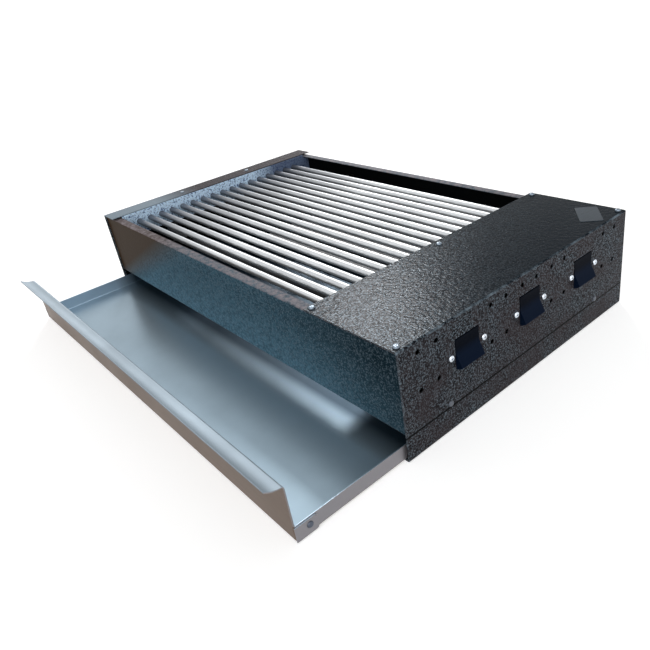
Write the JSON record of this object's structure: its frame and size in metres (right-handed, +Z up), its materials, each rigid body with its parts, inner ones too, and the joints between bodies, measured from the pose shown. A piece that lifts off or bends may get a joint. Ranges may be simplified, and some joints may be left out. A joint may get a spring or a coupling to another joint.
{
  "type": "electric fish roaster",
  "caption": "Sheet-metal tabletop electric grill with chrome rods over tubular elements, a control end with rocker switches and a drip tray that slides out under the front.",
  "frame": {"origin": "the middle of the casing's footprint, on the table", "axes": "+X from the left end to the control end, +Y from the tray's front towards the back, +Z up"},
  "size_m": [0.608, 0.4853, 0.1152],
  "materials": {
    "hammered_paint": "hammered dark grey enamel",
    "partition_steel": "dark enamel",
    "bar_chrome": "bright",
    "element_sheath": "heat-dulled",
    "plain_steel": "satin",
    "fastener_steel": "bright",
    "bead_ceramic": "glazed ceramic",
    "terminal_brass": "plain",
    "tray_steel": "satin sheet",
    "rocker_plastic": "gloss black",
    "housing_plastic": "matt black",
    "gland_rubber": "matt black",
    "label_metal": "dull, bare",
    "live_insulation": "brown",
    "switched_insulation": "black",
    "neutral_insulation": "blue",
    "earth_insulation": "green and yellow"
  },
  "bodies": {
    "casing": {"front_panel": "hammered_paint", "back_panel": "hammered_paint", "left_end_panel": "hammered_paint", "control_cover": "hammered_paint", "left_runner": "hammered_paint", "right_runner": "hammered_paint", "bar_header": "hammered_paint", "partition": "partition_steel", "grill_bars": "bar_chrome", "heating_element_front": "element_sheath", "heating_element_middle": "element_sheath", "heating_element_rear": "element_sheath", "element_bushes": "plain_steel", "element_nuts": "plain_steel", "element_studs": "plain_steel", "element_support": "plain_steel", "cover_screws": "fastener_steel", "header_rivets": "fastener_steel", "end_rivets": "fastener_steel", "switch_screws": "fastener_steel", "earth_screw": "fastener_steel", "terminal_block_screws": "fastener_steel", "switch_pivot_pins": "fastener_steel", "element_beads": "bead_ceramic", "switch_terminals": "terminal_brass", "switch_housing_front": "housing_plastic", "switch_housing_middle": "housing_plastic", "switch_housing_rear": "housing_plastic", "terminal_block": "housing_plastic", "cable_gland": "gland_rubber", "blank_label": "label_metal", "live_leads": "live_insulation", "switched_leads": "switched_insulation", "neutral_leads": "neutral_insulation", "earth_lead": "earth_insulation"},
    "tray": {"drip_tray": "tray_steel", "tray_rivets": "fastener_steel"},
    "rocker_front_body": {"rocker_front": "rocker_plastic"},
    "rocker_middle_body": {"rocker_middle": "rocker_plastic"},
    "rocker_rear_body": {"rocker_rear": "rocker_plastic"}
  },
  "joints": [
    {"name": "tray_slide", "type": "slide", "parent": "casing", "child": "tray", "axis": [0, -1, 0], "range_m": [-0.12, 0.2]},
    {"name": "rocker_front_rock", "type": "hinge", "parent": "casing", "child": "rocker_front_body", "pos_m": [0.297, -0.092, 0.0755], "axis": [0, 1, 0], "range_deg": [0, 26]},
    {"name": "rocker_middle_rock", "type": "hinge", "parent": "casing", "child": "rocker_middle_body", "pos_m": [0.297, 0, 0.0755], "axis": [0, 1, 0], "range_deg": [0, 26]},
    {"name": "rocker_rear_rock", "type": "hinge", "parent": "casing", "child": "rocker_rear_body", "pos_m": [0.297, 0.092, 0.0755], "axis": [0, 1, 0], "range_deg": [0, 26]}
  ]
}
